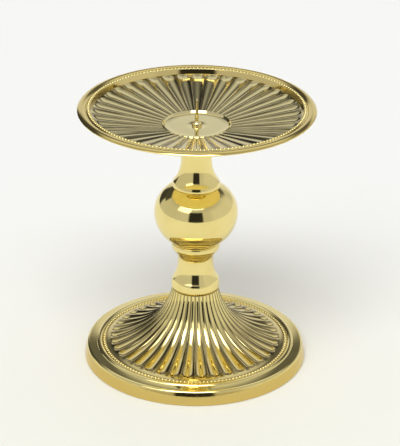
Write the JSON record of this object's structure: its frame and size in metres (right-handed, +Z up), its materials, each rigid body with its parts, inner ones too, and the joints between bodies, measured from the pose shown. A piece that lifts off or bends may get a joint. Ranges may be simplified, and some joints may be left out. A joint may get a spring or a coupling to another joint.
{
  "type": "pricket candle stand",
  "caption": "Polished brass pricket candle stand: fluted bell foot, turned stem with a ball knop, fluted drip pan with a beaded rim and a central spike for a pillar candle.",
  "frame": {"origin": "centre of the foot's underside, on the surface the stand rests on", "axes": "+Z up along the stem towards the spike's tip; -Y towards the camera of the picture"},
  "size_m": [0.152, 0.152, 0.1816],
  "materials": {
    "polished_brass": "mirror polished and lacquered",
    "plated_steel": "zinc plated"
  },
  "bodies": {
    "root": {"foot": "polished_brass", "lower_neck": "polished_brass", "knop": "polished_brass", "upper_neck": "polished_brass", "pan": "polished_brass", "pricket": "polished_brass", "tie_rod": "plated_steel", "foot_washer": "plated_steel", "foot_spring_washer": "plated_steel", "foot_nut": "plated_steel"}
  },
  "joints": []
}
